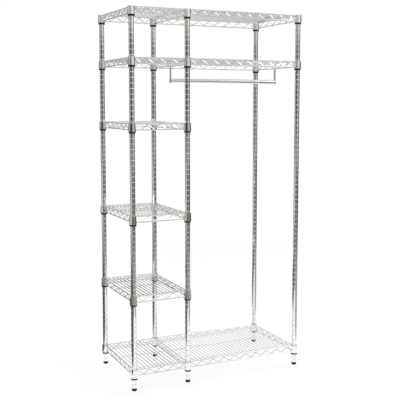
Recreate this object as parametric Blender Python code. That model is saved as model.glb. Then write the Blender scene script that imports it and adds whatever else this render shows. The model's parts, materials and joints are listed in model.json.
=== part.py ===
"""Chrome wire clothes rack: six grooved posts carry three full-width shelves, three small shelves and a rod.

Metres, +Z up, front towards -Y. The origin is on the floor, at the middle of the rack.
"""

import math

import bmesh
import bpy
from mathutils import Vector

# Plan, between post centres
LEFT_BAY = 0.2794
RIGHT_BAY = 0.6096
DEPTH = 0.4318

# Shelf levels, in groove steps of the posts above the bottom shelf
GROOVE_PITCH = 0.0254
BOTTOM_LEVEL = 0.060
BOTTOM_STEPS = 0
LOWER_STEPS = 14
MIDDLE_STEPS = 29
UPPER_STEPS = 46
HANGING_STEPS = 58
TOP_STEPS = 67

# Clearance between pieces that touch, and between wires of one shelf that cross unfused
FIT = 0.0003
CROSSING_GAP = 0.0004
ROUND_SIDES = 12

# Posts, with the threaded insert pressed into the lower end
POST_RADIUS = 0.0127
POST_WALL = 0.0012
POST_ABOVE_TOP_LEVEL = 0.041
INSERT_HEIGHT = 0.020

# Post caps
CAP_HEAD = 0.0025
CAP_PLUG = 0.010

# Levelling feet
FOOT_RADIUS = 0.012
FOOT_HEIGHT = 0.014
STEM_RADIUS = 0.004
STEM_LENGTH = 0.030

# Tapered sleeves, whose lower edge shows as a ring under each collar
SLEEVE_BELOW_LEVEL = 0.003
SLEEVE_HEIGHT = 0.045
SLEEVE_RING = 0.006
SLEEVE_TOP_WALL = 0.0013
SLEEVE_BOTTOM_WALL = 0.0033

# Shelf collars
COLLAR_HEIGHT = 0.040
COLLAR_WALL = 0.0022

# Shelf wires
RIM_RADIUS = 0.0032
RIM_SIDES = 6
LOWER_RIM_ABOVE_LEVEL = 0.012
UPPER_RIM_ABOVE_LEVEL = 0.0395
DECK_RADIUS = 0.0021
DECK_SIDES = 4
DECK_PITCH = 0.0203
BRACE_RADIUS = 0.0020
BRACE_SIDES = 4
BRACE_MITRE = 1.2
LONG_BRACE_WAVE = 0.061
SIDE_BRACE_WAVE = 0.065
SUPPORT_RADIUS = 0.0025
SUPPORT_INSET = 0.036
WELD_DEPTH = 0.0015

# Garment rod and its two hanging brackets
ROD_RADIUS = 0.011
ROD_WALL = 0.001
ROD_SIDES = 16
ROD_BELOW_RIM = 0.070
BRACKET_THICKNESS = 0.003
BRACKET_WIDTH = 0.018
HOOK_LEG = 0.002
EYE_WALL = 0.002

X_AXIS = Vector((1, 0, 0))
Y_AXIS = Vector((0, 1, 0))

LEFT = -(LEFT_BAY + RIGHT_BAY) / 2
MIDDLE = LEFT + LEFT_BAY
RIGHT = MIDDLE + RIGHT_BAY
FRONT = -DEPTH / 2
REAR = DEPTH / 2
COLUMNS = {"left": LEFT, "middle": MIDDLE, "right": RIGHT}
ROWS = {"front": FRONT, "rear": REAR}
SMALL_COLUMNS = ("left", "middle")
FULL_COLUMNS = ("left", "middle", "right")
SHELVES = {
    "bottom": (BOTTOM_STEPS, FULL_COLUMNS),
    "lower": (LOWER_STEPS, SMALL_COLUMNS),
    "middle": (MIDDLE_STEPS, SMALL_COLUMNS),
    "upper": (UPPER_STEPS, SMALL_COLUMNS),
    "hanging": (HANGING_STEPS, FULL_COLUMNS),
    "top": (TOP_STEPS, FULL_COLUMNS),
}

POST_BORE = POST_RADIUS - POST_WALL
POST_BOTTOM = FOOT_HEIGHT + FIT
SLEEVE_BORE = POST_RADIUS + FIT
SLEEVE_TOP = SLEEVE_HEIGHT - SLEEVE_BELOW_LEVEL
COLLAR_BOTTOM = SLEEVE_RING - SLEEVE_BELOW_LEVEL
COLLAR_TOP = COLLAR_BOTTOM + COLLAR_HEIGHT
BRACKET_FACE = RIM_RADIUS + FIT


def level(steps):
    """Height of the groove that carries a shelf's sleeves."""
    return BOTTOM_LEVEL + steps * GROOVE_PITCH


POST_TOP = level(TOP_STEPS) + POST_ABOVE_TOP_LEVEL


def sleeve_radius(height):
    """Outer radius of the tapered sleeve at a height above its level."""
    share = (height + SLEEVE_BELOW_LEVEL) / SLEEVE_HEIGHT
    wall = SLEEVE_BOTTOM_WALL + (SLEEVE_TOP_WALL - SLEEVE_BOTTOM_WALL) * share
    return SLEEVE_BORE + wall


COLLAR_RADIUS = sleeve_radius(COLLAR_BOTTOM) + FIT + COLLAR_WALL
WIRE_START = COLLAR_RADIUS - COLLAR_WALL / 2


def principled(name, colour, metallic, roughness):
    finish = bpy.data.materials.new(name)
    finish.use_nodes = True
    shader = finish.node_tree.nodes["Principled BSDF"]
    shader.inputs["Base Color"].default_value = (*colour, 1)
    shader.inputs["Metallic"].default_value = metallic
    shader.inputs["Roughness"].default_value = roughness
    return finish


def mesh_from(bm, name, finish):
    """Turns a finished bmesh into a smooth-shaded mesh with one material."""
    bmesh.ops.recalc_face_normals(bm, faces=bm.faces)
    mesh = bpy.data.meshes.new(name)
    bm.to_mesh(mesh)
    bm.free()
    mesh.materials.append(finish)
    mesh.shade_smooth()
    mesh.set_sharp_from_angle(angle=math.radians(35))
    return mesh


def place(name, mesh, location, parent=None):
    piece = bpy.data.objects.new(name, mesh)
    piece.location = location
    piece.parent = parent
    bpy.context.scene.collection.objects.link(piece)
    return piece


def add_turned(bm, profile, centre=(0, 0, 0)):
    """Turns a closed profile of (radius, height) points about Z. A flat faces each of +-X and +-Y."""
    rings = []
    for radius, height in profile:
        if radius == 0:
            rings.append([bm.verts.new(Vector(centre) + Vector((0, 0, height)))] * ROUND_SIDES)
            continue
        ring = []
        for side in range(ROUND_SIDES):
            angle = math.tau * (side + 0.5) / ROUND_SIDES
            offset = Vector((radius * math.cos(angle), radius * math.sin(angle), height))
            ring.append(bm.verts.new(Vector(centre) + offset))
        rings.append(ring)
    for lower, upper in zip(rings, rings[1:] + rings[:1]):
        for side in range(ROUND_SIDES):
            after = (side + 1) % ROUND_SIDES
            corners = dict.fromkeys((lower[side], lower[after], upper[after], upper[side]))
            if len(corners) > 2:
                bm.faces.new(tuple(corners))


def add_wire(bm, points, radius, sides, across, first_angle=0.0):
    """Sweeps a polygon along a path that lies in the plane square to across, with mitred corners."""
    points = [Vector(point) for point in points]
    rings = []
    for index, point in enumerate(points):
        before = point - points[index - 1] if index else points[1] - point
        after = points[index + 1] - point if index + 1 < len(points) else before
        along = (before.normalized() + after.normalized()).normalized()
        normal = across.cross(along)
        mitre = 1 / normal.dot(across.cross(after.normalized()))
        ring = []
        for side in range(sides):
            angle = first_angle + math.tau * side / sides
            offset = normal * (mitre * math.cos(angle)) + across * math.sin(angle)
            ring.append(bm.verts.new(point + radius * offset))
        rings.append(ring)
    for near, far in zip(rings, rings[1:]):
        for side in range(sides):
            after = (side + 1) % sides
            bm.faces.new((near[side], near[after], far[after], far[side]))
    bm.faces.new(rings[0][::-1])
    bm.faces.new(rings[-1])


def joined(base, helpers, operation="UNION"):
    """The mesh of base after a Boolean with each helper, and the helpers removed."""
    for helper in helpers:
        cut = base.modifiers.new(helper.name, "BOOLEAN")
        cut.operation = operation
        cut.object = helper
    bpy.context.view_layer.update()
    graph = bpy.context.evaluated_depsgraph_get()
    mesh = bpy.data.meshes.new_from_object(base.evaluated_get(graph))
    for used in (base, *helpers):
        bpy.data.objects.remove(used)
    mesh.shade_smooth()
    mesh.set_sharp_from_angle(angle=math.radians(35))
    return mesh


def posts_of(columns):
    """(x, y) of each post that a shelf with these columns hangs on."""
    return [(COLUMNS[column], y) for column in columns for y in ROWS.values()]


def spans(columns):
    """(start, end) of the wire between each pair of neighbouring columns, ending inside the collars."""
    places = [COLUMNS[column] for column in columns]
    return [(a + WIRE_START, b - WIRE_START) for a, b in zip(places, places[1:])]


def brace_path(start, end, half_waves):
    """(place, height) of a zigzag between the two rims that starts and ends high."""
    clear = UPPER_RIM_ABOVE_LEVEL - LOWER_RIM_ABOVE_LEVEL - 2 * (RIM_RADIUS + CROSSING_GAP)
    swing = clear / 2 - BRACE_RADIUS * BRACE_MITRE
    centre = (UPPER_RIM_ABOVE_LEVEL + LOWER_RIM_ABOVE_LEVEL) / 2
    step = (end - start) / half_waves
    return [(start + step * i, centre + swing * (-1) ** i) for i in range(half_waves + 1)]


def collar_mesh(columns, finish):
    bm = bmesh.new()
    profile = (
        (COLLAR_RADIUS, COLLAR_BOTTOM + FIT),
        (COLLAR_RADIUS, COLLAR_TOP),
        (sleeve_radius(COLLAR_TOP) + FIT, COLLAR_TOP),
        (sleeve_radius(COLLAR_BOTTOM) + FIT, COLLAR_BOTTOM + FIT),
    )
    for x, y in posts_of(columns):
        add_turned(bm, profile, (x, y, 0))
    return mesh_from(bm, "collars", finish)


def rim_mesh(columns, finish):
    """Upper and lower rim wires along the front, the rear and each cross frame."""
    bm = bmesh.new()
    for height in (LOWER_RIM_ABOVE_LEVEL, UPPER_RIM_ABOVE_LEVEL):
        for y in ROWS.values():
            for start, end in spans(columns):
                add_wire(bm, ((start, y, height), (end, y, height)), RIM_RADIUS, RIM_SIDES, Y_AXIS)
        for column in columns:
            x = COLUMNS[column]
            ends = ((x, FRONT + WIRE_START, height), (x, REAR - WIRE_START, height))
            add_wire(bm, ends, RIM_RADIUS, RIM_SIDES, X_AXIS)
    return mesh_from(bm, "rims", finish)


def deck_mesh(columns, finish):
    """Deck wires, front to rear, evenly spaced between the cross frames."""
    bm = bmesh.new()
    reach = DEPTH / 2 - RIM_RADIUS * math.cos(math.pi / RIM_SIDES) + WELD_DEPTH
    places = [COLUMNS[column] for column in columns]
    for start, end in zip(places, places[1:]):
        gaps = round((end - start) / DECK_PITCH)
        for wire in range(1, gaps):
            x = start + (end - start) * wire / gaps
            ends = ((x, -reach, UPPER_RIM_ABOVE_LEVEL), (x, reach, UPPER_RIM_ABOVE_LEVEL))
            add_wire(bm, ends, DECK_RADIUS, DECK_SIDES, X_AXIS, math.pi / DECK_SIDES)
    return mesh_from(bm, "deck", finish)


def brace_mesh(columns, finish):
    """Zigzag wires between the rims of the front, the rear and each cross frame."""
    bm = bmesh.new()
    for start, end in spans(columns):
        path = brace_path(start, end, round(2 * (end - start) / LONG_BRACE_WAVE))
        for y in ROWS.values():
            add_wire(bm, [(x, y, z) for x, z in path], BRACE_RADIUS, BRACE_SIDES, Y_AXIS)
    start, end = FRONT + WIRE_START, REAR - WIRE_START
    # A multiple of four half waves puts a high bend at mid-depth, over the hook of the rod's bracket.
    path = brace_path(start, end, 4 * round((end - start) / SIDE_BRACE_WAVE / 2))
    for column in columns:
        points = [(COLUMNS[column], y, z) for y, z in path]
        add_wire(bm, points, BRACE_RADIUS, BRACE_SIDES, X_AXIS)
    return mesh_from(bm, "braces", finish)


def support_mesh(columns, finish):
    """Lengthwise wires under the deck, from the left cross frame to the right one."""
    bm = bmesh.new()
    height = UPPER_RIM_ABOVE_LEVEL - DECK_RADIUS - CROSSING_GAP - SUPPORT_RADIUS
    first, last = COLUMNS[columns[0]], COLUMNS[columns[-1]]
    for y in (FRONT + SUPPORT_INSET, 0, REAR - SUPPORT_INSET):
        add_wire(bm, ((first, y, height), (last, y, height)), SUPPORT_RADIUS, BRACE_SIDES, Y_AXIS)
    return mesh_from(bm, "supports", finish)


def shelf_mesh(name, columns, finish):
    """One welded shelf: collars, rims, zigzag braces, supports and deck wires in one body."""
    base = place("collars", collar_mesh(columns, finish), (0, 0, 0))
    parts = (rim_mesh, deck_mesh, brace_mesh, support_mesh)
    helpers = [place(part.__name__, part(columns, finish), (0, 0, 0)) for part in parts]
    mesh = joined(base, helpers)
    mesh.name = name
    return mesh


def post_mesh(finish):
    bm = bmesh.new()
    bore = STEM_RADIUS + FIT
    profile = (
        (POST_RADIUS, POST_BOTTOM),
        (POST_RADIUS, POST_TOP),
        (POST_BORE, POST_TOP),
        (POST_BORE, POST_BOTTOM + INSERT_HEIGHT),
        (bore, POST_BOTTOM + INSERT_HEIGHT),
        (bore, POST_BOTTOM),
    )
    add_turned(bm, profile)
    return mesh_from(bm, "post", finish)


def sleeve_mesh(finish):
    """The two snapped halves of a sleeve as one ring, from its exposed lower edge to its top."""
    bm = bmesh.new()
    profile = (
        (sleeve_radius(-SLEEVE_BELOW_LEVEL), -SLEEVE_BELOW_LEVEL),
        (sleeve_radius(SLEEVE_TOP), SLEEVE_TOP),
        (SLEEVE_BORE, SLEEVE_TOP),
        (SLEEVE_BORE, -SLEEVE_BELOW_LEVEL),
    )
    add_turned(bm, profile)
    return mesh_from(bm, "sleeve", finish)


def cap_mesh(finish):
    bm = bmesh.new()
    plug = POST_BORE - FIT
    profile = ((0, -CAP_PLUG), (plug, -CAP_PLUG), (plug, FIT), (POST_RADIUS, FIT), (POST_RADIUS, CAP_HEAD))
    add_turned(bm, (*profile, (0, CAP_HEAD)))
    return mesh_from(bm, "cap", finish)


def foot_mesh(finish):
    bm = bmesh.new()
    stem_top = FOOT_HEIGHT + STEM_LENGTH
    profile = ((0, 0), (FOOT_RADIUS, 0), (FOOT_RADIUS, FOOT_HEIGHT), (STEM_RADIUS, FOOT_HEIGHT))
    add_turned(bm, (*profile, (STEM_RADIUS, stem_top), (0, stem_top)))
    return mesh_from(bm, "foot", finish)


def round_bar(name, radius, start, end, finish):
    """A round bar along X between two places, with as many sides as the rod, as a helper object."""
    bm = bmesh.new()
    ends = ((start, 0, 0), (end, 0, 0))
    add_wire(bm, ends, radius, ROD_SIDES, Y_AXIS, math.pi / ROD_SIDES)
    return place(name, mesh_from(bm, name, finish), (0, 0, 0))


def rod_mesh(finish):
    """A tube that ends flush with the brackets' outer faces. The origin is in the middle posts' plane."""
    start, end = BRACKET_FACE, RIGHT_BAY - BRACKET_FACE
    rod = round_bar("rod", ROD_RADIUS, start, end, finish)
    bore = round_bar("bore", ROD_RADIUS - ROD_WALL, start - ROD_WALL, end + ROD_WALL, finish)
    return joined(rod, [bore], "DIFFERENCE")


def bracket_mesh(facing, finish):
    """A strap hooked over a lower rim wire, with an eye for the rod. The origin is on the rod's axis."""
    near = BRACKET_FACE
    far = near + BRACKET_THICKNESS
    wire = ROD_BELOW_RIM
    outline = (
        (near, 0),
        (far, 0),
        (far, wire + far),
        (-far, wire + far),
        (-far, wire - HOOK_LEG),
        (-near, wire - HOOK_LEG),
        (-near, wire + near),
        (near, wire + near),
    )
    bm = bmesh.new()
    half = Vector((0, BRACKET_WIDTH / 2, 0))
    rings = [[bm.verts.new(Vector((facing * x, 0, z)) + side) for x, z in outline] for side in (-half, half)]
    for i in range(len(outline)):
        bm.faces.new((rings[0][i - 1], rings[0][i], rings[1][i], rings[1][i - 1]))
    for ring in rings:
        bm.faces.new(ring)
    strap = place("strap", mesh_from(bm, "strap", finish), (0, 0, 0))

    eye = round_bar("eye", ROD_RADIUS + EYE_WALL, facing * near, facing * far, finish)
    hole = round_bar("hole", ROD_RADIUS + FIT, -2 * far, 2 * far, finish)
    whole = place("whole", joined(strap, [eye]), (0, 0, 0))
    return joined(whole, [hole], "DIFFERENCE")


def clear_scene():
    for old in list(bpy.data.objects):
        bpy.data.objects.remove(old)


def build():
    clear_scene()
    chrome = principled("chrome_plate", (0.62, 0.63, 0.64), 1.0, 0.12)
    black = principled("black_plastic", (0.012, 0.012, 0.013), 0.0, 0.45)

    frame = place("frame", None, (0, 0, 0))
    post, cap = post_mesh(chrome), cap_mesh(chrome)
    sleeve, foot = sleeve_mesh(black), foot_mesh(black)
    for column, x in COLUMNS.items():
        for row, y in ROWS.items():
            corner = f"{row}_{column}"
            place(f"post_{corner}", post, (x, y, 0), frame)
            place(f"post_cap_{corner}", cap, (x, y, POST_TOP), frame)
            place(f"levelling_foot_{corner}", foot, (x, y, 0), frame)

    full = shelf_mesh("full_shelf", FULL_COLUMNS, chrome)
    small = shelf_mesh("small_shelf", SMALL_COLUMNS, chrome)
    for name, (steps, columns) in SHELVES.items():
        mesh = full if columns is FULL_COLUMNS else small
        place(f"shelf_{name}", mesh, (0, 0, level(steps)), frame)
        for column in columns:
            for row, y in ROWS.items():
                place(f"sleeve_{name}_{row}_{column}", sleeve, (COLUMNS[column], y, level(steps)), frame)

    rod_height = level(HANGING_STEPS) + LOWER_RIM_ABOVE_LEVEL - ROD_BELOW_RIM
    hanger = place("rod_hanger", None, (MIDDLE, 0, rod_height), frame)
    place("garment_rod", rod_mesh(chrome), (0, 0, 0), hanger)
    place("rod_bracket_left", bracket_mesh(1, chrome), (0, 0, 0), hanger)
    place("rod_bracket_right", bracket_mesh(-1, chrome), (RIGHT_BAY, 0, 0), hanger)


build()
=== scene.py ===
# %% [markdown]
# This lesson dresses a chrome wire clothes rack: six posts with ring grooves, six welded wire
# shelves that hang on tapered black sleeves, and a garment rod hooked under the second shelf. The
# CAD model already fixes where every piece is and how it moves, so each plain solid is replaced by
# a finer surface at the same place. The frame is loaded first.

import json
import math

import bpy
import numpy as np
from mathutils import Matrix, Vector

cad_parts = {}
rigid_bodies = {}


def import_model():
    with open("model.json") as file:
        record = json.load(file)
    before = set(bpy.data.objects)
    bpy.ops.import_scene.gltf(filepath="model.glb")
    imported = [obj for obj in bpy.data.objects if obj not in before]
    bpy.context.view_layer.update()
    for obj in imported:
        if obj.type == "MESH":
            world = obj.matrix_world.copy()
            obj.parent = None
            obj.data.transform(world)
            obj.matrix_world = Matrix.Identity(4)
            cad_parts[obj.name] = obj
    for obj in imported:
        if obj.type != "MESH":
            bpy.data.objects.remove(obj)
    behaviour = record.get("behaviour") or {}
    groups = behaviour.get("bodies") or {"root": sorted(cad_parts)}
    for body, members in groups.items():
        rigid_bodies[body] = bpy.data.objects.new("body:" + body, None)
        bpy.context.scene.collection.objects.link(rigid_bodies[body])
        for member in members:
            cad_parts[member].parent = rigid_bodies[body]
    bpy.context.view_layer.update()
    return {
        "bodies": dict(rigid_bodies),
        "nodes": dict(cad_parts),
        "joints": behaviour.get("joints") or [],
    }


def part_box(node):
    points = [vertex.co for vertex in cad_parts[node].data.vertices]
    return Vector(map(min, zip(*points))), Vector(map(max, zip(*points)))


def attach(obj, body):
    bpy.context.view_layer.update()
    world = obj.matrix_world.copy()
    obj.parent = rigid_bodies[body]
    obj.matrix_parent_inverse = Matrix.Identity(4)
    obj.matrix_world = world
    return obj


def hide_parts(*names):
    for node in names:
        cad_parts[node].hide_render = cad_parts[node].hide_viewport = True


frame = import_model()

# %% [markdown]
# No piece is placed by eye. Post centres, shelf levels and radii are read from the frame, so the
# looks follow a new pack. The CAD model turns its round pieces with 12 sides and a flat towards
# each side of the box. The true radius is therefore half of the box, divided by the cosine of half
# a side's angle.

# %% Places read from the frame
ROWS = ("front", "rear")
COLUMNS = ("left", "middle", "right")
CAD_SIDES = 12
SLEEVE_BELOW_LEVEL = 0.003


def centre_of(node):
    """Middle of a node's box."""
    low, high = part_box(node)
    return np.array((low + high) / 2)


def round_radius(node):
    """Radius of an upright round node: half its width, over the cosine of half a side's angle."""
    low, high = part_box(node)
    return (high.x - low.x) / 2 / math.cos(math.pi / CAD_SIDES)


column_x = {column: centre_of(f"post_front_{column}")[0] for column in COLUMNS}
row_y = {row: centre_of(f"post_{row}_left")[1] for row in ROWS}
posts = [(f"{row}_{column}", column_x[column], row_y[row]) for column in COLUMNS for row in ROWS]
shelves = {}
for body in frame["bodies"]:
    if body.endswith("_shelf"):
        shelf = body.removesuffix("_shelf")
        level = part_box(f"sleeve_{shelf}_front_left")[0].z + SLEEVE_BELOW_LEVEL
        columns = [c for c in COLUMNS if f"sleeve_{shelf}_front_{c}" in frame["nodes"]]
        shelves[shelf] = (level, columns)
print("columns", column_x, "rows", row_y)
print("shelf levels", {shelf: round(level, 4) for shelf, (level, columns) in shelves.items()})

# %% [markdown]
# Every piece is a closed surface over a grid of points. The columns of the grid go round, and its
# rows either go round too, as on a ring, or end in two fans of triangles. Blender could build the
# same shapes with Screw modifiers and bevelled curves, but arrays are quicker for hundreds of wires
# and leave one clean mesh for each piece. A grid can come out inside out, so the signed volume of
# the surface decides which way its faces turn.

# %% Grids that become closed surfaces
NO_CORNER = -1


def quads_between(numbers):
    """Corner numbers of the quads between neighbouring points of a numbered grid."""
    corners = (numbers[:-1, :-1], numbers[:-1, 1:], numbers[1:, 1:], numbers[1:, :-1])
    return np.stack(corners, -1).reshape(-1, 4)


def wrapped_quads(rows, columns, ring):
    """Quads of a grid whose columns wrap round, and whose rows do so too on a ring."""
    numbers = np.arange(rows * columns).reshape(rows, columns)
    numbers = np.hstack([numbers, numbers[:, :1]])
    if ring:
        numbers = np.vstack([numbers, numbers[:1]])
    return quads_between(numbers)


def fan(rim, pole):
    """Triangles from a round of points to a pole. A triangle has no fourth corner."""
    return np.stack(np.broadcast_arrays(rim, np.roll(rim, -1), pole, NO_CORNER), -1)


def facing_out(points, faces):
    """Turns faces over if the signed volume, the sum of a . (b x c) of triangles, is negative."""
    a, b, c = (points[faces[:, corner]] for corner in range(3))
    d = points[np.where(faces[:, 3] == NO_CORNER, faces[:, 2], faces[:, 3])]
    volume = (np.cross(a, b) * c).sum() + (np.cross(a, c) * d).sum()
    if volume > 0:
        return faces
    return np.where(faces[:, 3:] == NO_CORNER, faces[:, [0, 2, 1, 3]], faces[:, [0, 3, 2, 1]])


def shells(grids, ring=False):
    """Points and faces of equal closed surfaces, from an array (count, rows, columns, 3)."""
    count, rows, columns = grids.shape[:3]
    points = grids.reshape(count, rows * columns, 3)
    faces = wrapped_quads(rows, columns, ring)
    if not ring:
        points = np.concatenate([points, grids[:, :1].mean(2), grids[:, -1:].mean(2)], 1)
        first, last = np.arange(columns)[::-1], np.arange(columns) + (rows - 1) * columns
        faces = np.vstack([faces, fan(first, rows * columns), fan(last, rows * columns + 1)])
    faces = facing_out(points[0], faces)
    starts = np.arange(count)[:, None, None] * points.shape[1]
    faces = np.where(faces[None] == NO_CORNER, NO_CORNER, faces[None] + starts)
    return points.reshape(-1, 3), faces.reshape(-1, 4)


# %% One function that puts surfaces into a mesh
SHARP_ANGLE = math.radians(40)


def mesh_of(name, parts, finish):
    """One smooth-shaded object at the origin from several (points, faces) surfaces."""
    point_sets, face_sets = zip(*parts)
    starts = np.cumsum([0] + [len(points) for points in point_sets])
    points = np.vstack(point_sets)
    shifted = [np.where(f == NO_CORNER, f, f + start) for f, start in zip(face_sets, starts)]
    faces = np.vstack(shifted)
    sizes = (faces != NO_CORNER).sum(1)
    mesh = bpy.data.meshes.new(name)
    mesh.vertices.add(len(points))
    mesh.vertices.foreach_set("co", points.ravel())
    mesh.loops.add(int(sizes.sum()))
    mesh.loops.foreach_set("vertex_index", faces[faces != NO_CORNER])
    mesh.polygons.add(len(faces))
    mesh.polygons.foreach_set("loop_start", np.cumsum(sizes) - sizes)
    mesh.update(calc_edges=True)
    mesh.validate()
    mesh.shade_smooth()
    mesh.set_sharp_from_angle(angle=SHARP_ANGLE)
    mesh.materials.append(finish)
    thing = bpy.data.objects.new(name, mesh)
    bpy.context.scene.collection.objects.link(thing)
    return thing


def dress(name, parts, finish, body, slot, *nodes):
    """A piece that rides on a body, takes a finish and stands for CAD nodes. Its slot is not used.
    """
    piece = mesh_of(name, parts, finish)
    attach(piece, body)
    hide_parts(*nodes)
    return piece


# %% [markdown]
# Two kinds of grid make nearly the whole rack. A turned piece is a profile of radius and height
# spun about an upright axis. A wire is a circle carried along a path. Corners of a profile are
# softened by arcs that touch both of their sides, because no plated or moulded edge is perfectly
# sharp, and the thin highlight on an edge is what makes metal look real.

# %% Turned profiles, swept circles and rounded corners
ARC_STEPS = 4
EXTRA_POINTS = 3
SHADING_HOLD = 0.0004
HOLD_SHARE = 0.4


def around(sides):
    """Cosine and sine of evenly spaced angles."""
    angles = 2 * math.pi * np.arange(sides) / sides
    return np.cos(angles), np.sin(angles)


def turned(profile, centres, sides):
    """(r, h) points spun about upright axes: x = cx + r cos a, y = cy + r sin a, z = cz + h."""
    cosine, sine = around(sides)
    radius, height = np.asarray(profile, float).T[:, :, None]
    spun = np.stack(np.broadcast_arrays(radius * cosine, radius * sine, height), -1)
    return np.asarray(centres, float)[:, None, None] + spun


def swept(paths, radius, sides, across):
    """A circle carried along paths (count, points, 3) that lie square to the direction across.

    Each point becomes p + radius (n cos a + across sin a), where n is across x the path's tangent.
    """
    cosine, sine = around(sides)
    across = np.asarray(across, float)
    tangent = np.gradient(paths, axis=1)
    tangent /= np.linalg.norm(tangent, axis=-1, keepdims=True)
    normal = np.cross(across, tangent)
    ring = normal[:, :, None] * cosine[:, None] + across * sine[:, None]
    return paths[:, :, None] + radius * ring


def rounded(corners, radius, steps=ARC_STEPS):
    """A closed polygon whose corners are arcs, each of steps + EXTRA_POINTS points.

    An arc touches both sides at radius / tan(half the corner's angle) from the corner, and its
    middle lies on the corner's bisector. The points between turn evenly from one touching point to
    the other. One more point on each side, a little past the arc, keeps the smooth shading of the
    arc off the flat side.
    """
    corners = np.asarray(corners, float)
    radius = np.broadcast_to(radius, len(corners))[:, None]
    back, on = np.roll(corners, 1, 0) - corners, np.roll(corners, -1, 0) - corners
    length = np.linalg.norm(on, axis=1, keepdims=True)
    back /= np.roll(length, 1, 0)
    on /= length
    half = np.arccos(np.clip((back * on).sum(1, keepdims=True), -1, 1)) / 2
    bisector = (back + on) / np.linalg.norm(back + on, axis=1, keepdims=True)
    middle = corners + bisector * radius / np.sin(half)
    reach = radius / np.tan(half)
    start = (corners + back * reach - middle)[:, None]
    end = (corners + on * reach - middle)[:, None]
    turn = math.pi - 2 * half[:, None]
    share = np.linspace(0, 1, steps + 1)[None, :, None]
    arcs = (np.sin((1 - share) * turn) * start + np.sin(share * turn) * end) / np.sin(turn)
    spare = np.minimum(SHADING_HOLD, HOLD_SHARE * (length - reach - np.roll(reach, -1, 0)))
    before = corners + back * (reach + np.roll(spare, 1, 0))
    after = corners + on * (reach + spare)
    soft = np.concatenate([before[:, None], middle[:, None] + arcs, after[:, None]], 1)
    return soft.reshape(-1, 2)


# %% [markdown]
# Three small helpers serve every material. One turns an sRGB hex colour into the linear numbers a
# shader wants. One adds a node, sets its properties, and gives each named input either a value or a
# link. One starts a material. A value that is the same all over a surface goes straight onto the
# shader's own socket.

# %% Colours and nodes
MM = 0.001
SHADER = "Principled BSDF"
COLOUR_A, COLOUR_B, MIXED_COLOUR = 6, 7, 2


def linear(code):
    """An sRGB hex colour as linear red, green, blue and alpha.

    A level v becomes v / 12.92 where it is dark, else ((v + 0.055) / 1.055) to the power 2.4.
    """
    srgb = np.array([int(code[i : i + 2], 16) for i in (1, 3, 5)]) / 255
    return (*np.where(srgb <= 0.04045, srgb / 12.92, ((srgb + 0.055) / 1.055) ** 2.4), 1.0)


def add_node(tree, kind, inputs=None, **settings):
    """A new node with these properties. An input gets a value or a link from an output socket."""
    node = tree.nodes.new(kind)
    for name, value in settings.items():
        setattr(node, name, value)
    for name, value in (inputs or {}).items():
        if isinstance(value, bpy.types.NodeSocket):
            tree.links.new(value, node.inputs[name])
        else:
            node.inputs[name].default_value = value
    return node


def new_finish(name):
    """A new material and its node tree."""
    finish = bpy.data.materials.new(name)
    finish.use_nodes = True
    return finish, finish.node_tree


# %% [markdown]
# The posts, shelves, rod and brackets are mild steel with bright nickel and chrome plating.
# Polished chrome is a neutral, slightly cool mirror. What keeps it from looking like a computer's
# mirror is small: hazy patches a few centimetres wide where hands have been, a soft ripple that
# follows the drawn steel beneath, and fine rub marks. The ripple runs along each piece, so posts
# and wires get their own stretch of the same pattern. Real rub marks are about 0.05 mm wide, and
# they are drawn 0.8 mm wide here so that they show at all. The pressed brackets of the rod weren't
# polished before plating, so theirs is a satin chrome that spreads its reflections.

# %% Chrome plate
HAZE_SIZE = 45 * MM
HAZE_LOW, HAZE_HIGH = 0.35, 0.75
RIPPLE_SIZE = 5 * MM
RIPPLE_HEIGHT = 0.02 * MM
RIPPLE_STRENGTH = 0.25
RUB_WIDTH = 0.8 * MM
RUB_LOW, RUB_HIGH = 0.62, 0.80
RUB_DULLS = 0.12
POLISHED = (0.04, 0.13)
UNPOLISHED = (0.32, 0.44)


def chrome_plate(name, along, polish):
    """Chrome plating: along stretches the ripple in x, y and z, polish is the roughness."""
    finish, tree = new_finish(name)
    shader = tree.nodes[SHADER]
    shader.inputs["Metallic"].default_value = 1.0
    place = add_node(tree, "ShaderNodeTexCoord").outputs["Object"]
    stretch = {"Vector": place, "Scale": tuple(1 / share for share in along)}
    drawn = add_node(tree, "ShaderNodeMapping", stretch).outputs["Vector"]
    haze = {"Vector": place, "Scale": 1 / HAZE_SIZE, "Detail": 4.0, "Roughness": 0.6}
    haze = add_node(tree, "ShaderNodeTexNoise", haze).outputs["Fac"]
    rubs = {"Vector": drawn, "Scale": 1 / RUB_WIDTH, "Detail": 2.0}
    rubs = add_node(tree, "ShaderNodeTexNoise", rubs).outputs["Fac"]
    ripple = {"Vector": drawn, "Scale": 1 / RIPPLE_SIZE, "Detail": 2.0}
    ripple = add_node(tree, "ShaderNodeTexNoise", ripple).outputs["Fac"]

    tone = {"Factor": haze, COLOUR_A: linear("#F8F9F9"), COLOUR_B: linear("#EDEEF0")}
    tone = add_node(tree, "ShaderNodeMix", tone, data_type="RGBA").outputs[MIXED_COLOUR]
    tree.links.new(tone, shader.inputs["Base Color"])
    matt = {"Value": haze, "From Min": HAZE_LOW, "From Max": HAZE_HIGH}
    matt = {**matt, "To Min": polish[0], "To Max": polish[1]}
    matt = add_node(tree, "ShaderNodeMapRange", matt).outputs["Result"]
    worn = {"Value": rubs, "From Min": RUB_LOW, "From Max": RUB_HIGH}
    worn = {**worn, "To Min": 0.0, "To Max": RUB_DULLS}
    worn = add_node(tree, "ShaderNodeMapRange", worn).outputs["Result"]
    both = add_node(tree, "ShaderNodeMath", {0: matt, 1: worn}, operation="ADD").outputs["Value"]
    tree.links.new(both, shader.inputs["Roughness"])
    bump = {"Height": ripple, "Strength": RIPPLE_STRENGTH, "Distance": RIPPLE_HEIGHT}
    bump = add_node(tree, "ShaderNodeBump", bump).outputs["Normal"]
    tree.links.new(bump, shader.inputs["Normal"])
    return finish


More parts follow.
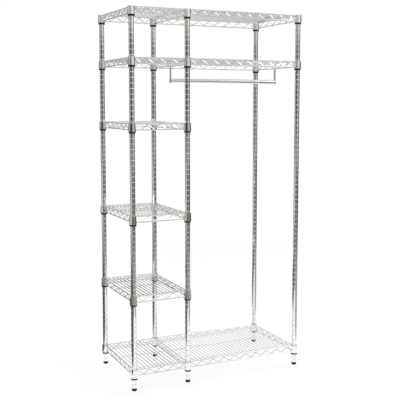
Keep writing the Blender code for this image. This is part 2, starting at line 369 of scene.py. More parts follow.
chrome_tube = chrome_plate("chrome plate on drawn tube", (1, 1, 12), POLISHED)
chrome_wire = chrome_plate("chrome plate on drawn wire", (3, 3, 1), POLISHED)
chrome_strip = chrome_plate("satin chrome plate on pressed strip", (1, 1, 6), UNPOLISHED)
print("made", chrome_tube.name, "and", chrome_wire.name, "and", chrome_strip.name)

# %% [markdown]
# Sleeves and levelling feet are moulded polypropylene, black all through. The mould leaves a fine
# grain and a satin skin that turns shinier where it rubs on steel. The stems of the feet are
# zinc-plated steel, duller and bluer than chrome.

# %% Black polypropylene and zinc plate
MOULD_GRAIN = 0.7 * MM
GRAIN_HEIGHT = 0.05 * MM
GRAIN_STRENGTH = 0.3
SCUFF_SIZE = 9 * MM
SKIN_ROUGHNESS = (0.42, 0.60)
PLASTIC_IOR = 1.49
PLASTIC_SPECULAR = 0.25
ZINC_SPANGLE = 2.5 * MM
ZINC_ROUGHNESS = (0.24, 0.38)
NOISE_LOW, NOISE_HIGH = 0.3, 0.7


def moulded_black():
    """Black plastic: scuffs set its tone and roughness, and the mould's grain is a fine bump."""
    finish, tree = new_finish("moulded black polypropylene")
    shader = tree.nodes[SHADER]
    shader.inputs["IOR"].default_value = PLASTIC_IOR
    shader.inputs["Specular IOR Level"].default_value = PLASTIC_SPECULAR
    place = add_node(tree, "ShaderNodeTexCoord").outputs["Object"]
    grain = {"Vector": place, "Scale": 1 / MOULD_GRAIN, "Detail": 2.0}
    grain = add_node(tree, "ShaderNodeTexNoise", grain).outputs["Fac"]
    scuff = {"Vector": place, "Scale": 1 / SCUFF_SIZE, "Detail": 5.0, "Roughness": 0.65}
    scuff = add_node(tree, "ShaderNodeTexNoise", scuff).outputs["Fac"]
    tone = {"Factor": scuff, COLOUR_A: linear("#0A0A0B"), COLOUR_B: linear("#161617")}
    tone = add_node(tree, "ShaderNodeMix", tone, data_type="RGBA").outputs[MIXED_COLOUR]
    tree.links.new(tone, shader.inputs["Base Color"])
    satin = {"Value": scuff, "From Min": NOISE_LOW, "From Max": NOISE_HIGH}
    satin = {**satin, "To Min": SKIN_ROUGHNESS[0], "To Max": SKIN_ROUGHNESS[1]}
    satin = add_node(tree, "ShaderNodeMapRange", satin).outputs["Result"]
    tree.links.new(satin, shader.inputs["Roughness"])
    bump = {"Height": grain, "Strength": GRAIN_STRENGTH, "Distance": GRAIN_HEIGHT}
    bump = add_node(tree, "ShaderNodeBump", bump).outputs["Normal"]
    tree.links.new(bump, shader.inputs["Normal"])
    return finish


def zinc_plate():
    """Zinc plating: small spangles vary its tone and its dull shine."""
    finish, tree = new_finish("zinc plated steel")
    shader = tree.nodes[SHADER]
    shader.inputs["Metallic"].default_value = 1.0
    place = add_node(tree, "ShaderNodeTexCoord").outputs["Object"]
    spangle = {"Vector": place, "Scale": 1 / ZINC_SPANGLE, "Detail": 3.0}
    spangle = add_node(tree, "ShaderNodeTexNoise", spangle).outputs["Fac"]
    tone = {"Factor": spangle, COLOUR_A: linear("#B4B8BE"), COLOUR_B: linear("#CDCFCC")}
    tone = add_node(tree, "ShaderNodeMix", tone, data_type="RGBA").outputs[MIXED_COLOUR]
    tree.links.new(tone, shader.inputs["Base Color"])
    dull = {"Value": spangle, "From Min": NOISE_LOW, "From Max": NOISE_HIGH}
    dull = {**dull, "To Min": ZINC_ROUGHNESS[0], "To Max": ZINC_ROUGHNESS[1]}
    dull = add_node(tree, "ShaderNodeMapRange", dull).outputs["Result"]
    tree.links.new(dull, shader.inputs["Roughness"])
    return finish


black = moulded_black()
zinc = zinc_plate()
print("made", black.name, "and", zinc.name)

# %% [markdown]
# A post is a one-inch tube with a shallow ring rolled into it every inch. The rings are what a
# sleeve's inner bead drops into, and they break the long reflections into dashes. A bump texture
# would vanish in a mesh export, so the rings are real: seven rows of points for each ring, on a
# whole cosine wave. The wall, the bore and the threaded insert at the bottom belong to the same
# closed profile.

# %% Posts
GROOVE_PITCH = 0.0254
GROOVE_DEPTH = 0.00038
GROOVE_HALF_WIDTH = 0.0013
GROOVE_MARGIN = 3 * GROOVE_HALF_WIDTH
GROOVE_ROWS = 7
GROOVE_EDGE = 1.3
POST_SIDES = 40
POST_WALL = 0.0012
POST_EDGE = 0.0005
POST_ARC_STEPS = 3
INSERT_HEIGHT = 0.020
INSERT_BORE = 0.0043

post_radius = round_radius("post_front_left")
post_low, post_high = (corner.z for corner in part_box("post_front_left"))
bottom_level = shelves["bottom"][0]


def post_profile():
    """Closed outline of half a post, and its number of rings.

    Near a ring the radius is R - depth (1 + cos(pi t)) / 2, with t from -1 to 1 across the ring.
    """
    first = math.ceil((post_low + GROOVE_MARGIN - bottom_level) / GROOVE_PITCH)
    last = math.floor((post_high - GROOVE_MARGIN - bottom_level) / GROOVE_PITCH)
    centres = bottom_level + GROOVE_PITCH * np.arange(first, last + 1)
    across = np.linspace(-1, 1, GROOVE_ROWS)
    places = np.concatenate([[-GROOVE_EDGE], across, [GROOVE_EDGE]])
    heights = centres[:, None] + GROOVE_HALF_WIDTH * places
    dips = np.concatenate([[0], GROOVE_DEPTH * (1 + np.cos(math.pi * across)) / 2, [0]])
    wall = np.stack(np.broadcast_arrays(post_radius - dips, heights), -1).reshape(-1, 2)
    bore = post_radius - POST_WALL
    insert_top = post_low + INSERT_HEIGHT
    corners = [
        (post_radius, post_low),
        (post_radius, post_high),
        (bore, post_high),
        (bore, insert_top),
        (INSERT_BORE, insert_top),
        (INSERT_BORE, post_low),
    ]
    ends = rounded(corners, POST_EDGE, POST_ARC_STEPS)
    wall_start = POST_ARC_STEPS + EXTRA_POINTS
    return np.vstack([ends[:wall_start], wall, ends[wall_start:]]), len(centres)


outline, rings = post_profile()
for place, x, y in posts:
    node = f"post_{place}"
    post = shells(turned(outline, [(x, y, 0)], POST_SIDES), ring=True)
    dress(f"grooved_{node}", [post], chrome_tube, "frame", "chrome_plate", node)
print("six posts with", rings, "rings each, radius", round(post_radius, 5))

# %% [markdown]
# Caps close the post tops. Each is a plug with a thin domed head that is flush with the tube. It is
# a full solid, so one fan closes the plug's underside and the other the middle of the dome.

# %% Post caps
CAP_PLUG = 0.010
CAP_EDGE = 0.0006
CAP_FIT = 0.0003
CAP_DOME_START = 0.12
DOME_ROWS = 7
CAP_SIDES = 40


def cap_profile(head):
    """Plug, underside of the head, rim, then a dome of radius R cos t that rises with sin t."""
    plug = post_radius - POST_WALL - CAP_FIT
    rim = [
        (plug - CAP_EDGE, -CAP_PLUG),
        (plug, CAP_EDGE - CAP_PLUG),
        (plug, CAP_FIT),
        (post_radius, CAP_FIT),
    ]
    edge = head - 2 * CAP_EDGE
    angle = np.linspace(CAP_DOME_START, 1, DOME_ROWS) * math.pi / 2
    dome = np.stack([post_radius * np.cos(angle), edge + (head - edge) * np.sin(angle)], -1)[:-1]
    return np.vstack([rim, (post_radius, edge), dome])


cap_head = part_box("post_cap_front_left")[1].z - post_high
for place, x, y in posts:
    node = f"post_cap_{place}"
    cap = shells(turned(cap_profile(cap_head), [(x, y, post_high)], CAP_SIDES))
    dress(f"domed_{node}", [cap], chrome_tube, "frame", "chrome_plate", node)
print("six caps, heads", round(cap_head / MM, 2), "mm high")

# %% [markdown]
# A levelling foot is a black moulded knob with a soft lower edge, on a threaded stem that screws up
# into the post. The thread is a real helix: its radius depends on height and angle together, so
# that going once round the stem climbs one pitch. It shows only when a foot is screwed out.

# %% Levelling feet
FOOT_LOWER_EDGE = 0.0032
FOOT_UPPER_EDGE = 0.0010
FOOT_POLE_EDGE = 0.0002
FOOT_POLE_SHARE = 0.15
FOOT_ARC_STEPS = 5
FOOT_SIDES = 40
STEM_RADIUS = 0.0040
STEM_SUNK = 0.002
THREAD_PITCH = 0.0015
THREAD_DEPTH = 0.0006
THREAD_ROWS = 6
THREAD_SIDES = 20

foot_radius = round_radius("levelling_foot_front_left")
foot_top = post_low - CAP_FIT
stem_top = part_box("levelling_foot_front_left")[1].z


def foot_profile():
    """Half outline of the knob, from near the middle of its underside to near that of its top."""
    near = FOOT_POLE_SHARE * foot_radius
    corners = [(near, 0), (foot_radius, 0), (foot_radius, foot_top), (near, foot_top)]
    edges = (FOOT_POLE_EDGE, FOOT_LOWER_EDGE, FOOT_UPPER_EDGE, FOOT_POLE_EDGE)
    soft = rounded(corners, edges, FOOT_ARC_STEPS)
    points = FOOT_ARC_STEPS + EXTRA_POINTS
    return np.vstack([corners[0], soft[points : 3 * points], corners[3]])


def threaded_stem(x, y):
    """Helical thread: radius R - depth (1 + cos(2 pi h / pitch - a)) / 2 at height h, angle a."""
    rows = int((stem_top - foot_top) / THREAD_PITCH) * THREAD_ROWS
    height = np.linspace(foot_top - STEM_SUNK, stem_top, rows)[:, None]
    angle = 2 * math.pi * np.arange(THREAD_SIDES) / THREAD_SIDES
    turn = 2 * math.pi * height / THREAD_PITCH - angle
    radius = STEM_RADIUS - THREAD_DEPTH * (1 + np.cos(turn)) / 2
    parts = (x + radius * np.cos(angle), y + radius * np.sin(angle), height)
    return np.stack(np.broadcast_arrays(*parts), -1)[None]


for place, x, y in posts:
    node, foot_body = f"levelling_foot_{place}", f"foot_{place}"
    knob = shells(turned(foot_profile(), [(x, y, 0)], FOOT_SIDES))
    stem = shells(threaded_stem(x, y))
    dress(f"knob_of_{node}", [knob], black, foot_body, "black_plastic", node)
    dress(f"stem_of_{node}", [stem], zinc, foot_body, "chrome_plate", node)
print("six feet, radius", round(foot_radius / MM, 2), "mm, stems up to", round(stem_top, 4))

# %% [markdown]
# Under every collar sits a sleeve: two tapered half shells that snap round the post, with a bead
# inside that drops into a ring of the post. Wedging the collar down on the taper is what holds a
# shelf up. A half shell is its wall's outline carried along half a circle, stopped a little early
# so that the two halves leave a thin split.

# %% Sleeves
SLEEVE_FIT = 0.0003
SLEEVE_TOP_WALL = 0.0013
SLEEVE_BOTTOM_WALL = 0.0033
SLEEVE_EDGE = 0.0005
SLEEVE_ARC_STEPS = 3
SLEEVE_LIP = 0.0008
SPLIT_GAP = 0.0006
BEAD_DEPTH = 0.0004
BEAD_PLACES = (0.8, 0.4, 0.0, -0.4, -0.8)
BEAD_SHARES = (0.0, 0.7, 1.0, 0.7, 0.0)
HALF_STEPS = 20

sleeve_low, sleeve_high = (corner.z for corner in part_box("sleeve_bottom_front_left"))
sleeve_bore = post_radius + SLEEVE_FIT


def sleeve_wall():
    """Closed outline of the wall, heights from its foot: a lip below, a bead at the post's ring."""
    height = sleeve_high - sleeve_low
    corners = [
        (sleeve_bore, -SLEEVE_LIP),
        (sleeve_bore + SLEEVE_BOTTOM_WALL, -SLEEVE_LIP),
        (sleeve_bore + SLEEVE_TOP_WALL, height),
        (sleeve_bore, height),
    ]
    bead_radius = sleeve_bore - BEAD_DEPTH * np.array(BEAD_SHARES)
    bead_height = SLEEVE_BELOW_LEVEL + GROOVE_HALF_WIDTH * np.array(BEAD_PLACES)
    bead = np.stack([bead_radius, bead_height], -1)
    return np.vstack([rounded(corners, SLEEVE_EDGE, SLEEVE_ARC_STEPS), bead])


def half_sleeve(x, y, low, side):
    """The wall's outline carried round half a circle, stopped half a split off the x axis."""
    radius, height = sleeve_wall().T
    margin = SPLIT_GAP / 2 / sleeve_bore
    angle = side * np.linspace(margin, math.pi - margin, HALF_STEPS)[:, None]
    parts = (x + radius * np.cos(angle), y + radius * np.sin(angle), low + height)
    return np.stack(np.broadcast_arrays(*parts), -1)[None]


made = 0
for shelf, (level, columns) in shelves.items():
    for column in columns:
        for row in ROWS:
            node = f"sleeve_{shelf}_{row}_{column}"
            foot = (column_x[column], row_y[row], level - SLEEVE_BELOW_LEVEL)
            halves = [shells(half_sleeve(*foot, side)) for side in (1, -1)]
            dress(f"split_{node}", halves, black, "frame", "black_plastic", node)
            made += 1
print(made, "split sleeves")

# %% [markdown]
# A shelf is one welded piece of wire. Tapered collars sit on the sleeves. Between the collars run
# two heavy rim wires, one above the other, with a lighter wire snaking between them. Deck wires go
# from front to rear at the height of the upper rim, and a few lengthwise wires carry them from
# below. A collar is a cone of even wall that follows the sleeve's taper, so its outline is worked
# out from the sleeve's. The taper of two and a half degrees is why collars mirror a higher and
# brighter part of the room than the posts beside them.

# %% Collars
COLLAR_FIT = 0.0003
COLLAR_LIFT = 0.0008
COLLAR_EDGE = 0.0005
COLLAR_SIDES = 40

taper = (SLEEVE_TOP_WALL - SLEEVE_BOTTOM_WALL) / (sleeve_high - sleeve_low)
shelf_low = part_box("shelf_top")[0]
collar_radius = (column_x["left"] - shelf_low.x) / math.cos(math.pi / CAD_SIDES)
collar_foot = shelf_low.z - shelves["top"][0]


def collar_profile(shelf):
    """Closed outline of a collar: both walls narrow upwards at the sleeve's taper, edges soft."""
    low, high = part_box(f"shelf_{shelf}")
    heights = np.array([low.z + COLLAR_LIFT, high.z])
    sleeve_foot = shelves[shelf][0] - SLEEVE_BELOW_LEVEL
    outer = collar_radius + taper * (heights - low.z)
    inner = sleeve_bore + SLEEVE_BOTTOM_WALL + COLLAR_FIT + taper * (heights - sleeve_foot)
    bottom, top = heights
    corners = [(outer[0], bottom), (outer[1], top), (inner[1], top), (inner[0], bottom)]
    return rounded(corners, COLLAR_EDGE)


print("collars of radius", round(collar_radius / MM, 2), "mm at the foot")

# %% [markdown]
# The snaking brace is a triangle wave with rounded bends. The arcsine of a cosine is a triangle
# wave, and a factor just under one inside it rounds the peaks. Its bends press into the rim wires,
# as spot welds leave them. The number of half waves comes from the wave's length, so both bays keep
# the same rhythm.

# %% Paths of the shelf's wires
RIM_RADIUS = 0.0032
LOWER_RIM_ABOVE_LEVEL = 0.012
UPPER_RIM_ABOVE_LEVEL = 0.0395
DECK_RADIUS = 0.0021
DECK_PITCH = 0.0203
BRACE_RADIUS = 0.0020
LONG_BRACE_WAVE = 0.061
SIDE_BRACE_WAVE = 0.065
SUPPORT_RADIUS = 0.0025
SUPPORT_INSET = 0.036
WELD_SINK = 0.0005
BEND_ROUNDNESS = 0.96
POINTS_A_HALF_WAVE = 12
X_AXIS, Y_AXIS = (1, 0, 0), (0, 1, 0)

front, rear = row_y["front"], row_y["rear"]


def wire_start(above_level):
    """Distance from a post's axis at which a wire is welded on, a little inside the collar."""
    return collar_radius + taper * (above_level - collar_foot) - WELD_SINK - COLLAR_EDGE


def spans(columns, start):
    """(start, end) in x of the wires between neighbouring collars."""
    places = [column_x[column] for column in columns]
    return [(a + start, b - start) for a, b in zip(places, places[1:])]


def snake(start, end, half_waves):
    """Place and height of the brace for a share s from 0 to 1 of its length.

    The height is middle + swing asin(k cos(pi n s)) / asin(k), for n half waves and roundness k.
    """
    share = np.linspace(0, 1, half_waves * POINTS_A_HALF_WAVE + 1)
    bends = BEND_ROUNDNESS * np.cos(math.pi * half_waves * share)
    wave = np.arcsin(bends) / math.asin(BEND_ROUNDNESS)
    room = (UPPER_RIM_ABOVE_LEVEL - LOWER_RIM_ABOVE_LEVEL) / 2
    swing = room - RIM_RADIUS - BRACE_RADIUS + WELD_SINK
    middle = (UPPER_RIM_ABOVE_LEVEL + LOWER_RIM_ABOVE_LEVEL) / 2
    return start + (end - start) * share, middle + swing * wave


def one_path(x, y, z):
    """Coordinates, of which some may be single numbers, as an array of one path."""
    return np.stack(np.broadcast_arrays(x, y, z), -1)[None].astype(float)


# %% Rims, braces, deck and supports
RIM_SIDES = 14
BRACE_SIDES = 8
DECK_SIDES = 8
SUPPORT_SIDES = 10


def rim_wires(level, columns):
    """Upper and lower rims along the front and rear of each bay and along each cross frame."""
    parts = []
    for above in (LOWER_RIM_ABOVE_LEVEL, UPPER_RIM_ABOVE_LEVEL):
        z, start = level + above, wire_start(above)
        along = [[(a, y, z), (b, y, z)] for a, b in spans(columns, start) for y in (front, rear)]
        side = [[(column_x[c], front + start, z), (column_x[c], rear - start, z)] for c in columns]
        parts.append(shells(swept(np.array(along), RIM_RADIUS, RIM_SIDES, Y_AXIS)))
        parts.append(shells(swept(np.array(side), RIM_RADIUS, RIM_SIDES, X_AXIS)))
    return parts


def brace_wires(level, columns):
    """Snaking wires between the rims.

    A multiple of four half waves on a cross frame puts a high bend over the rod's hook.
    """
    parts = []
    weld = wire_start(UPPER_RIM_ABOVE_LEVEL)
    for start, end in spans(columns, weld):
        x, z = snake(start, end, round(2 * (end - start) / LONG_BRACE_WAVE))
        for y in (front, rear):
            path = one_path(x, y, level + z)
            parts.append(shells(swept(path, BRACE_RADIUS, BRACE_SIDES, Y_AXIS)))
    start, end = front + weld, rear - weld
    y, z = snake(start, end, 4 * round((end - start) / SIDE_BRACE_WAVE / 2))
    for column in columns:
        path = one_path(column_x[column], y, level + z)
        parts.append(shells(swept(path, BRACE_RADIUS, BRACE_SIDES, X_AXIS)))
    return parts


def deck_wires(level, columns):
    """Even wires from the front rim to the rear rim with the wires below them, and their count."""
    places = [column_x[column] for column in columns]
    bays = zip(places, places[1:])
    x = np.concatenate([np.linspace(a, b, round((b - a) / DECK_PITCH) + 1)[1:-1] for a, b in bays])
    height = level + UPPER_RIM_ABOVE_LEVEL
    ends = np.array([front + RIM_RADIUS - WELD_SINK, rear - RIM_RADIUS + WELD_SINK])
    across = np.stack(np.broadcast_arrays(x[:, None], ends, height), -1)
    below = height - DECK_RADIUS - SUPPORT_RADIUS + WELD_SINK
    inset = (front + SUPPORT_INSET, (front + rear) / 2, rear - SUPPORT_INSET)
    along = np.array([[(places[0], y, below), (places[-1], y, below)] for y in inset])
    deck = shells(swept(across, DECK_RADIUS, DECK_SIDES, X_AXIS))
    supports = shells(swept(along, SUPPORT_RADIUS, SUPPORT_SIDES, Y_AXIS))
    return [deck, supports], len(x)


# %% Six welded shelves
for shelf, (level, columns) in shelves.items():
    node = f"shelf_{shelf}"
    spots = [(column_x[column], y, 0) for column in columns for y in (front, rear)]
    collars = shells(turned(collar_profile(shelf), spots, COLLAR_SIDES), ring=True)
    deck, count = deck_wires(level, columns)
    parts = [collars, *rim_wires(level, columns), *brace_wires(level, columns), *deck]
    piece = dress(f"welded_{node}", parts, chrome_wire, f"{shelf}_shelf", "chrome_plate", node)
    print(piece.name, "with", count, "deck wires and", len(piece.data.polygons), "faces")

# %% [markdown]
# The garment rod is a chrome tube with a low domed plug in each end. It is turned like a post, and
# its axes are then swapped so that it lies along x. Each end goes through the eye of a bracket.

# %% Garment rod
ROD_DOME = 0.0020
ROD_DOME_END = 0.95
ROD_CAD_SIDES = 16
ROD_SIDES = 48

rod_low, rod_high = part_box("garment_rod")
rod_centre = centre_of("garment_rod")
rod_radius = (rod_high.z - rod_low.z) / 2 / math.cos(math.pi / ROD_CAD_SIDES)
rod_half = (rod_high.x - rod_low.x) / 2


def lying(grids, centre):
    """A turned grid laid along x: its height becomes x, and its round goes through y and z."""
    return grids[..., [2, 0, 1]] + np.asarray(centre, float)


def rod_profile():
    """Straight wall between two domes of radius R cos t, which rise with sin t."""
    angle = np.linspace(0, ROD_DOME_END, DOME_ROWS) * math.pi / 2
    rise = rod_half - ROD_DOME + ROD_DOME * np.sin(angle)
    dome = np.stack([rod_radius * np.cos(angle), rise], -1)
    hold = (rod_radius, rod_half - 2 * ROD_DOME)
    right = np.vstack([hold, dome])
    return np.vstack([(right * (1, -1))[::-1], right])


rod = shells(lying(turned(rod_profile(), [(0, 0, 0)], ROD_SIDES), rod_centre))
dress("tube_of_garment_rod", [rod], chrome_wire, "rod_hanger", "chrome_plate", "garment_rod")
print("rod of radius", round(rod_radius / MM, 2), "mm, length", round(2 * rod_half / MM, 1), "mm")

# %% [markdown]
# A bracket is a strip of steel bent over the rim wire and welded to an eye for the rod. The strip
# is a rounded rectangle carried along its path: up the short leg, half round the wire and down to
# the eye. The eye is a turned ring, a little thicker than the strip, so that the two never share a
# face.

# %% Rod brackets
STRAP_WIDTH = 0.018
STRAP_THICKNESS = 0.0028
STRAP_EDGE = 0.0009
EYE_THICKNESS = 0.0032
EYE_FIT = 0.0003
EYE_EDGE = 0.0006
EYE_SIDES = 48
HOOK_LEG = 0.002
HOOK_STEPS = 13
LEG_STEPS = 4
DROP_STEPS = 10


def strap(node, facing, seat):
    """A rounded rectangle carried up the leg, round the wire and down to the eye.

    The lower end is cut to an arc: the height drops by seat - sqrt(seat^2 - y^2), more and more
    along the strip.
    """
    low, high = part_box(node)
    far, wire_x = (high.x - low.x) / 2, (high.x + low.x) / 2
    bend = far - STRAP_THICKNESS / 2
    wire_z = high.z - far
    turn = np.linspace(math.pi, 0, HOOK_STEPS)
    leg_z = np.linspace(wire_z - HOOK_LEG, wire_z, LEG_STEPS)
    leg = np.stack([np.full(LEG_STEPS, -bend), leg_z], -1)
    hook = np.stack([bend * np.cos(turn), wire_z + bend * np.sin(turn)], -1)
    drop_z = np.linspace(wire_z, rod_centre[2] + seat, DROP_STEPS)
    drop = np.stack([np.full(DROP_STEPS, bend), drop_z], -1)
    path = np.vstack([leg[:-1], hook, drop[1:]])
    tangent = np.gradient(path, axis=0)
    tangent /= np.linalg.norm(tangent, axis=1, keepdims=True)
    outward = np.stack([-tangent[:, 1], tangent[:, 0]], -1)
    half, half_width = STRAP_THICKNESS / 2, STRAP_WIDTH / 2
    corners = [(-half, -half_width), (half, -half_width), (half, half_width), (-half, half_width)]
    thick, wide = rounded(corners, STRAP_EDGE).T
    flat = path[:, None] + outward[:, None] * thick[:, None]
    share = np.concatenate([np.zeros(len(path) - DROP_STEPS), np.linspace(0, 1, DROP_STEPS)])
    x = wire_x + facing * flat[..., 0]
    y = np.broadcast_to(rod_centre[1] + wide, x.shape)
    z = flat[..., 1] - share[:, None] * (seat - np.sqrt(seat**2 - wide**2))
    return np.stack([x, y, z], -1)[None], wire_x + facing * bend


for node, facing in (("rod_bracket_left", 1), ("rod_bracket_right", -1)):
    inner, half = rod_radius + EYE_FIT, EYE_THICKNESS / 2
    outer = (rod_centre[2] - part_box(node)[0].z) / math.cos(math.pi / ROD_CAD_SIDES)
    grid, eye_x = strap(node, facing, (inner + outer) / 2)
    corners = [(outer, -half), (outer, half), (inner, half), (inner, -half)]
    eye = turned(rounded(corners, EYE_EDGE), [(0, 0, 0)], EYE_SIDES)
    eye = lying(eye, (eye_x, rod_centre[1], rod_centre[2]))
    parts = [shells(grid), shells(eye, ring=True)]
    dress(f"bent_{node}", parts, chrome_strip, "rod_hanger", "chrome_plate", node)
print("two bent brackets")

# %% [markdown]
# The camera stands where the photograph was taken: to the left of the rack and at about shoulder
# height. The position came from fitting a camera to the post and sleeve lines of the photograph.
# The camera dips a little, and a small lens shift keeps the posts nearly upright. More shift would
# fit them half a pixel better, but every other view of the rack keeps the shift and would lose the
# rack's top.

# %% Camera
CAMERA_AT = (-1.6821, -3.5917, 1.3673)
CAMERA_TURN = math.radians(-25.124)
CAMERA_DIP = math.radians(5.707)
FOCAL_PIXELS = 776.17
FRAME_PIXELS = 400
PRINCIPAL_ROW = 180
SENSOR_WIDTH = 36

lens = bpy.data.cameras.new("camera")
lens.sensor_width = SENSOR_WIDTH
lens.lens = FOCAL_PIXELS / FRAME_PIXELS * SENSOR_WIDTH
lens.shift_y = (PRINCIPAL_ROW - FRAME_PIXELS / 2) / FRAME_PIXELS
camera = bpy.data.objects.new("camera", lens)
camera.location = CAMERA_AT
camera.rotation_euler = (math.pi / 2 - CAMERA_DIP, 0, CAMERA_TURN)
bpy.context.scene.collection.objects.link(camera)
bpy.context.scene.camera = camera
bpy.context.scene.view_settings.view_transform = "Standard"
print("lens", round(lens.lens, 2), "mm, shift", round(lens.shift_y, 4))

# %% [markdown]
# Chrome has no look of its own: it shows the room. The world and the paper under the rack are white
# to the camera and in reflections. The paper keeps a part of its real shading, so the rack's shadow
# stays on it. It lies as far below the feet as they can be screwed out, so that no foot goes
# through it at any pose. On white paper the gap doesn't show. Its left edge is a bent line, because
# the wires of the low shelves mirror the darker floor beyond it. Places on the stage are given as
# the camera sees them: to its right, towards it and up.

# %% Helpers for the stage
def seen_directly(tree):
    """1 for rays from the camera, from mirrors and through glass, and 0 for other light."""
    path = add_node(tree, "ShaderNodeLightPath").outputs
    sharp = {0: path["Is Glossy Ray"], 1: path["Is Transmission Ray"]}
    sharp = add_node(tree, "ShaderNodeMath", sharp, operation="MAXIMUM").outputs["Value"]
    seen = {0: path["Is Camera Ray"], 1: sharp}
    return add_node(tree, "ShaderNodeMath", seen, operation="MAXIMUM").outputs["Value"]


def from_camera(right, near, up):
    """Points so far to the camera's right, towards the camera and up from the rack's middle."""
    cosine, sine = math.cos(CAMERA_TURN), math.sin(CAMERA_TURN)
    right, near, up = np.broadcast_arrays(right, near, up)
    return np.stack([right * cosine + near * sine, right * sine - near * cosine, up], -1)


def sheet(name, grid, finish):
    """An open stage surface over a grid of points."""
    rows, columns = grid.shape[:2]
    quads = quads_between(np.arange(rows * columns).reshape(rows, columns))
    mesh = bpy.data.meshes.new(name)
    mesh.from_pydata(grid.reshape(-1, 3).tolist(), [], quads.tolist())
    mesh.materials.append(finish)
    thing = bpy.data.objects.new(name, mesh)
    bpy.context.scene.collection.objects.link(thing)
    return thing


# %% White world
WORLD_FILL = 0.82

world = bpy.data.worlds.new("white room")
bpy.context.scene.world = world
world.use_nodes = True
sky = world.node_tree
strength = {"Value": seen_directly(sky), "To Min": WORLD_FILL, "To Max": 1.0}
strength = add_node(sky, "ShaderNodeMapRange", strength).outputs["Result"]
sky.nodes["Background"].inputs["Color"].default_value = linear("#FFFFFF")
sky.links.new(strength, sky.nodes["Background"].inputs["Strength"])
print("white world, fill", WORLD_FILL)

# %% Paper on the floor
PAPER_GLOW = 0.75
PAPER_WHITE = 1.04
PAPER_RIGHT = 1.0
PAPER_LEFT_EDGE = (
    (-0.40, 1.7), (-0.45, 0.95), (-0.62, 0.62), (-0.80, 0.35),
    (-0.85, 0.1), (-0.60, -0.4), (-0.40, -0.8), (-0.40, -4.0),
)

foot_travels = [j["range_m"][1] for j in frame["joints"] if j["child"].startswith("foot_")]
paper_level = -max(foot_travels)

paper, tree = new_finish("white backdrop paper")
tree.nodes.remove(tree.nodes[SHADER])
matt = add_node(tree, "ShaderNodeBsdfDiffuse", {"Color": linear("#FAFAFA")}).outputs["BSDF"]
glow = {"Color": linear("#FFFFFF"), "Strength": PAPER_WHITE}
glow = add_node(tree, "ShaderNodeEmission", glow).outputs["Emission"]
share = {0: seen_directly(tree), 1: PAPER_GLOW}
share = add_node(tree, "ShaderNodeMath", share, operation="MULTIPLY").outputs["Value"]
mixed = add_node(tree, "ShaderNodeMixShader", {"Fac": share, 1: matt, 2: glow}).outputs["Shader"]
tree.links.new(mixed, tree.nodes["Material Output"].inputs["Surface"])

left, near = np.array(PAPER_LEFT_EDGE).T
right = np.stack([left, np.full_like(left, PAPER_RIGHT)], -1)
sheet("backdrop_paper", from_camera(right, near[:, None], paper_level), paper)
print("paper up to", PAPER_RIGHT - left.min(), "m wide, at", round(paper_level, 4), "m")

# %% [markdown]
# Beyond the paper stand glowing sheets shaped as the walls, the floor and the ceiling of a studio,
# and a white backdrop hangs behind the rack. The camera doesn't see them and they throw no shadow.
# Their glow is a painted reflection that only gives the chrome its dark and light stripes. Their
# greys, the glow's strength as shares of white, were matched to the stripes that the photograph
# shows on posts, collars and wires. Their glow has a trace of yellow, as those have. Angles are in
# degrees to the right of the camera, seen from the rack's middle.

# %% Greys of the studio
WINDOW_AT, WINDOW_WIDTH = 48, 28
STRIPE_STARTS, STRIPE_ENDS = (-60, -42), (8, -10)
LEFT_DARKENS, RIGHT_DARKENS = (-70, -105), (72, 98)
UPPER_FROM, TOP_FROM, CROWN_FROM, WHITE_FROM = (0.5, 0.8), (1.95, 2.25), (2.35, 2.6), (2.95, 3.05)


def step(value, start, end):
    """A smooth step from 0 at start to 1 at end: 3 s^2 - 2 s^3 of the share s between them."""
    share = np.clip((value - start) / (end - start), 0, 1)
    return share * share * (3 - 2 * share)


def wall_grey(turn, height):
    """Grey of the wall by angle and height.

    Four levels, lower, upper, top and crown, follow each other with the height. A bright window
    stands to the right of the camera and a dark stripe to its left. Both sides are darker towards
    the back, and above three metres the wall is white, except behind the left side.
    """
    window = np.exp(-(((turn - WINDOW_AT) / WINDOW_WIDTH) ** 2))
    stripe = step(turn, *STRIPE_STARTS) * step(turn, *STRIPE_ENDS)
    lower = 0.60 - 0.47 * step(turn, -37, -18) + 0.08 * step(turn, 0, 50)
    upper = 0.43 - 0.13 * step(turn, -35, 0) + 0.18 * window
    upper = upper * (1 - stripe * (0.35 + 0.62 * step(height, 0.7, 1.2)))
    top = 0.53 + 0.36 * window - 0.24 * stripe
    crown = 0.62 + 0.30 * window - 0.22 * stripe
    grey = lower
    for level, heights in ((upper, UPPER_FROM), (top, TOP_FROM), (crown, CROWN_FROM)):
        grey = grey + (level - grey) * step(height, *heights)
    grey = grey * (1 - 0.45 * step(turn, *LEFT_DARKENS)) * (1 - 0.80 * step(turn, *RIGHT_DARKENS))
    behind_left = step(turn, -100, -120) * step(turn, -175, -160)
    return grey + (1 - grey) * step(height, *WHITE_FROM) * (1 - behind_left)


def floor_grey(turn, distance):
    """Grey of the floor beyond the paper: dark near it on the left, dark far away on the right.

    Behind the left side it turns bright sooner, from two metres on. The deck wires show that part.
    """
    right, behind_left = step(turn, -40, 10), step(turn, -105, -125)
    near, far = 0.09 + 0.28 * right, 0.35 - 0.16 * right + 0.45 * behind_left
    return near + (far - near) * step(distance, 2.6 - 0.9 * behind_left, 4.2 - 1.6 * behind_left)


def ceiling_grey(near):
    """Grey of the ceiling: middle grey over the rack, white behind it, then darker again."""
    return 1.0 - 0.34 * step(near, -2.4, -1.0) - 0.60 * step(near, -2.8, -3.6)


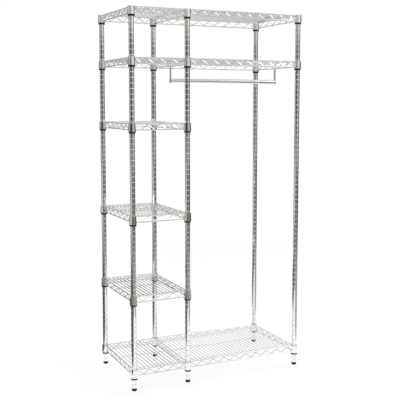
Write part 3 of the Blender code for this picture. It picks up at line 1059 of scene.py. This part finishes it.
# %% Studio that only the chrome sees
WALL_DISTANCE = 5.0
WALL_TOP = 3.6
WALL_COLUMNS, WALL_ROWS = 145, 42
FLOOR_STEPS = 101
STUDIO_FLOOR_DROP = 0.004
CEILING_HEIGHT = 4.2
BACKDROP_AT, BACKDROP_TOP = -1.8, 2.3
BACKDROP_LEFT, BACKDROP_RIGHT = -1.0, 1.2


def at_angle(turn, distance, up):
    """Points at angle a and distance d: d sin a to the right and d cos a towards the camera."""
    angle = np.radians(turn)
    return from_camera(distance * np.sin(angle), distance * np.cos(angle), up)


# A studio sheet glows at its grey level and only mirrors show it: a painted reflection, not lit
# paint.
def studio_sheet(name, grid, grey, finish):
    """A sheet with a grey level at each point, which the camera and soft light pass through."""
    thing = sheet(name, grid, finish)
    level = thing.data.attributes.new("grey", "FLOAT", "POINT")
    level.data.foreach_set("value", grey.astype(np.float32).ravel())
    thing.visible_camera = False
    thing.visible_diffuse = False
    thing.visible_shadow = False
    thing.visible_transmission = False
    return thing


# The studio's greys set the strength of a glow, a painted reflection, not paint lit by the lamps.
studio, tree = new_finish("studio glow for painted reflections")
tree.nodes.remove(tree.nodes[SHADER])
grey = add_node(tree, "ShaderNodeAttribute", attribute_name="grey").outputs["Fac"]
glow = {"Color": linear("#FEFFF4"), "Strength": grey}
glow = add_node(tree, "ShaderNodeEmission", glow).outputs["Emission"]
tree.links.new(glow, tree.nodes["Material Output"].inputs["Surface"])

floor_level = paper_level - STUDIO_FLOOR_DROP
turns = np.linspace(-180, 180, WALL_COLUMNS)
turn, height = np.meshgrid(turns, np.linspace(floor_level, WALL_TOP, WALL_ROWS))
wall = at_angle(turn, WALL_DISTANCE, height)
studio_sheet("studio_wall", wall, wall_grey(turn, height), studio)

turn, distance = np.meshgrid(turns, np.linspace(0, WALL_DISTANCE, FLOOR_STEPS))
ground = at_angle(turn, distance, floor_level)
studio_sheet("studio_floor", ground, floor_grey(turn, distance), studio)

depths = np.linspace(-WALL_DISTANCE, WALL_DISTANCE, FLOOR_STEPS)
right, near = np.meshgrid([-WALL_DISTANCE, WALL_DISTANCE], depths)
studio_sheet("studio_ceiling", from_camera(right, near, CEILING_HEIGHT), ceiling_grey(near), studio)

right, up = np.meshgrid([BACKDROP_LEFT, BACKDROP_RIGHT], [paper_level, BACKDROP_TOP])
studio_sheet("hung_backdrop", from_camera(right, BACKDROP_AT, up), np.ones_like(up), paper)
print("studio wall, floor, ceiling and hung backdrop for the reflections")

# %% [markdown]
# Two large soft boxes light the rack from above on both sides of the camera. They are wide and
# weak, so they make soft shadows, and colours come out about as they are written. The one on the
# right is the stronger, because it shows as bright dashes in every other stretch of the front
# braces.

# %% Soft boxes
SOFT_BOX_WIDTH = 2.4
RACK_MIDDLE = Vector((0, 0, 0.9))
KEY_AT, KEY_WATTS = Vector((-3.0, -2.6, 3.8)), 30
FILL_AT, FILL_WATTS = Vector((3.0, -2.2, 3.8)), 44


def soft_box(name, at, watts):
    """A square area lamp at a place, turned so that its face looks at the rack's middle."""
    lamp = bpy.data.lights.new(name, "AREA")
    lamp.shape = "SQUARE"
    lamp.size = SOFT_BOX_WIDTH
    lamp.energy = watts
    thing = bpy.data.objects.new(name, lamp)
    thing.location = at
    thing.rotation_euler = (RACK_MIDDLE - at).to_track_quat("-Z", "Y").to_euler()
    bpy.context.scene.collection.objects.link(thing)
    return thing


soft_box("key_soft_box", KEY_AT, KEY_WATTS)
soft_box("fill_soft_box", FILL_AT, FILL_WATTS)
print("two soft boxes of", KEY_WATTS, "and", FILL_WATTS, "watts")
